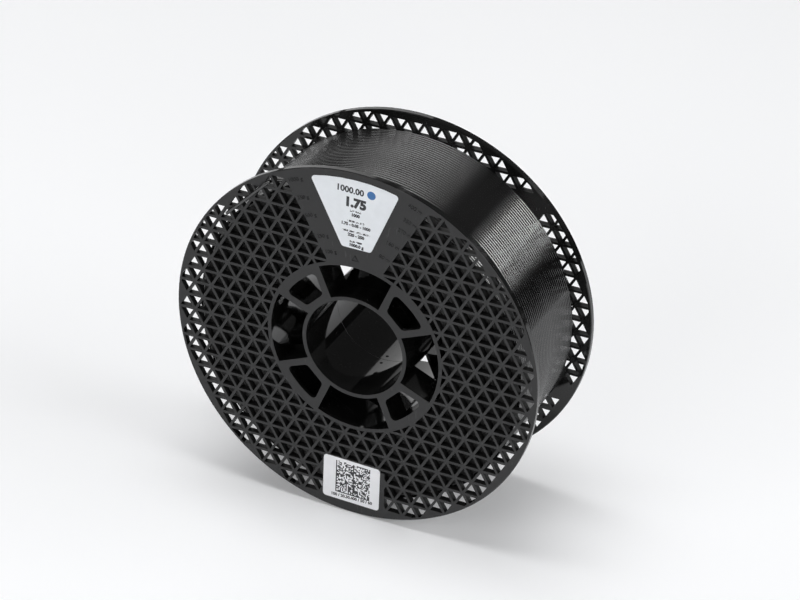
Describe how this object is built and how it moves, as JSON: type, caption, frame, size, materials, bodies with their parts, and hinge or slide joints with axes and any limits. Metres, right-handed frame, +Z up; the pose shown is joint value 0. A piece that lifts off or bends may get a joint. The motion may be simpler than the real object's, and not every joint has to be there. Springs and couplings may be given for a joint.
{
  "type": "filament spool",
  "caption": "Full spool of black plastic filament: a dark moulded reel with a triangular lattice in both round flanges, an open spoked hub and a round bore for a shaft.",
  "frame": {"origin": "on the axis of the bore, at mid width, so the floor that the rims stand on is at z = -0.1", "axes": "Y runs along the reel's axis, the front flange with the labels faces -Y, +Z is up through the wedge panel, +X is to the right as seen from the front"},
  "size_m": [0.2, 0.0724, 0.2],
  "materials": {
    "reel": "matte charcoal moulding with a fine grain",
    "filament": "glossy black strand",
    "label": "satin white label"
  },
  "bodies": {
    "root": {"front_half": "reel", "rear_half": "reel", "filament_winding": "filament", "filament_end": "filament", "wedge_label": "label", "code_label": "label"}
  },
  "joints": []
}
